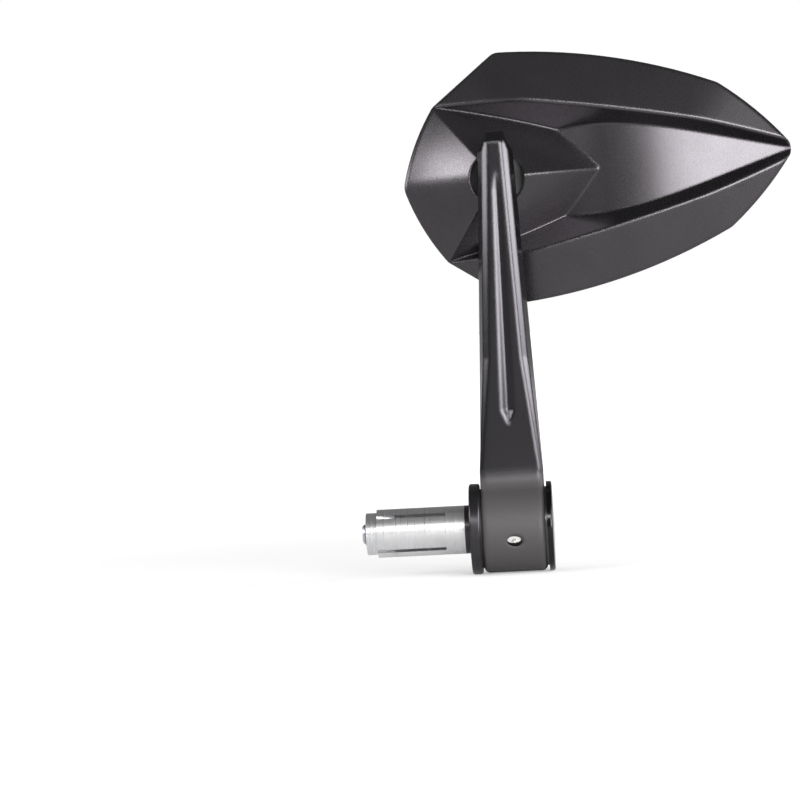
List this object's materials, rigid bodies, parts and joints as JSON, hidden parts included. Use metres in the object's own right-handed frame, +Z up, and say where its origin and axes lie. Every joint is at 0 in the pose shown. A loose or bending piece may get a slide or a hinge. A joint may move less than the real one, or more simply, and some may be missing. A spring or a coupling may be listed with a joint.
{
  "type": "motorcycle bar end mirror",
  "caption": "Black bar end mirror: pointed faceted head with convex glass on a ball joint, tapered grooved arm, and a ring foot locked on a barrel with an expander.",
  "frame": {"origin": "on the bar axis, at the collar face that meets the end of the handlebar", "axes": "+X along the bar axis, outboard; +Z up along the arm; +Y the way the glass faces"},
  "size_m": [0.1638, 0.048, 0.1907],
  "materials": {
    "black_anodised": "satin black anodised",
    "gloss_black": "gloss black",
    "bare_aluminium": "turned, bare",
    "stainless": "bright stainless",
    "zinc_steel": "zinc plated",
    "black_nylon": "matte",
    "natural_nylon": "matte",
    "black_rubber": "matte rubber",
    "adhesive_foam": "closed cell foam",
    "mirror_glass": "silvered convex glass"
  },
  "bodies": {
    "bar_end": {"bar_end_barrel": "black_anodised", "expander_sleeve": "bare_aluminium", "taper_nut": "bare_aluminium", "clamp_bolt": "zinc_steel", "bolt_washer": "zinc_steel", "end_cap": "gloss_black", "cap_seal_ring": "black_rubber", "inner_washer": "black_nylon", "outer_washer": "stainless"},
    "arm": {"mirror_arm": "black_anodised", "arm_set_screw": "stainless", "ball_stud": "stainless", "stud_lock_washer": "stainless"},
    "seat_ring": {"ball_seat_ring": "natural_nylon"},
    "seat_cup": {"pressure_cup": "natural_nylon"},
    "head": {"mirror_housing": "black_anodised", "socket_plate": "bare_aluminium", "socket_plate_screws": "stainless", "stud_dust_seal": "black_rubber", "glass_pad": "adhesive_foam", "mirror_glass": "mirror_glass"}
  },
  "joints": [
    {"name": "arm_swivel", "type": "hinge", "parent": "bar_end", "child": "arm", "pos_m": [0.01585, 0, 0], "axis": [1, 0, 0], "continuous": true},
    {"name": "head_roll", "type": "hinge", "parent": "arm", "child": "seat_ring", "pos_m": [0.01585, 0.02116, 0.1276], "axis": [0, 1, 0], "range_deg": [-30, 30]},
    {"name": "head_pan", "type": "hinge", "parent": "seat_ring", "child": "seat_cup", "pos_m": [0.01585, 0.02116, 0.1276], "axis": [0, 0, 1], "range_deg": [-12, 12]},
    {"name": "head_tilt", "type": "hinge", "parent": "seat_cup", "child": "head", "pos_m": [0.01585, 0.02116, 0.1276], "axis": [1, 0, 0], "range_deg": [-12, 12]}
  ]
}
